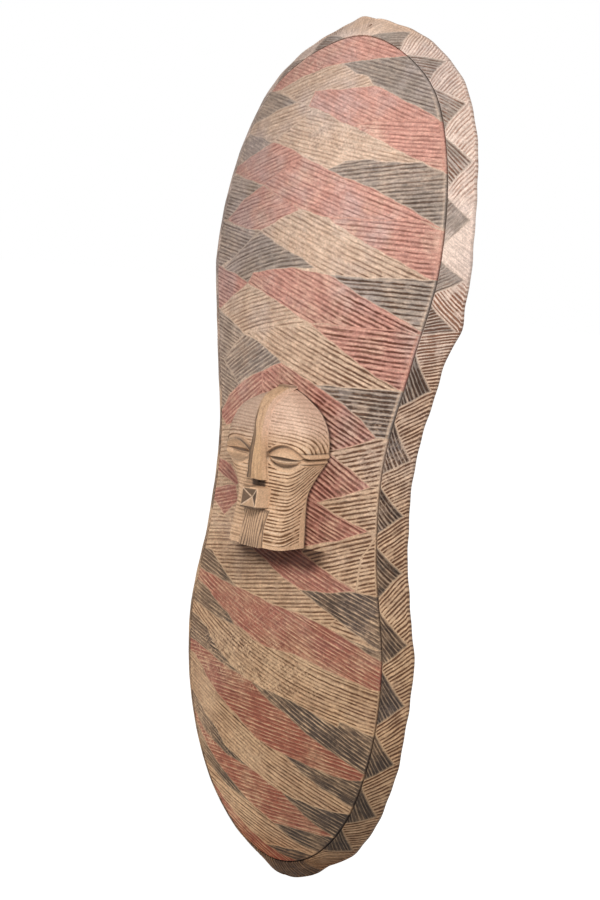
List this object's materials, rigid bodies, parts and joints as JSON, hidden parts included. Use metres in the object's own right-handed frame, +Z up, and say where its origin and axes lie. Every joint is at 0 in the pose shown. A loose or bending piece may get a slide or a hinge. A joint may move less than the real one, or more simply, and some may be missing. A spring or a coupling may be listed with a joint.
{
  "type": "wooden shield",
  "caption": "Long carved wooden shield with a waisted outline, domed front with a sloped border, a pegged-on stylised mask and a pegged hand grip in its hollow back.",
  "frame": {"origin": "middle of the hand grip's bar, where a hand or a stand holds the shield", "axes": "+Z up along the shield's length, the carved front faces -Y, the hollow back faces +Y, +X to the right seen from the front"},
  "size_m": [0.282, 0.1184, 0.8],
  "materials": {
    "board": "dry light wood carved with fine grooves and rubbed with faded red, tan and grey-brown pigment",
    "mask": "bare yellowish wood carved with fine curved grooves, darker in the grooves",
    "grip": "knife-cut wood, darkened with age",
    "bar": "wood rubbed smooth by the hand, slight sheen",
    "peg": "whittled hardwood peg, dull"
  },
  "bodies": {
    "root": {"shield_board": "board", "mask_carving": "mask", "upper_grip_block": "grip", "lower_grip_block": "grip", "grip_bar": "bar", "upper_lock_peg": "peg", "lower_lock_peg": "peg", "mask_peg_1": "peg", "mask_peg_2": "peg", "mask_peg_3": "peg", "mask_peg_4": "peg", "grip_peg_1": "peg", "grip_peg_2": "peg", "grip_peg_3": "peg", "grip_peg_4": "peg"}
  },
  "joints": []
}
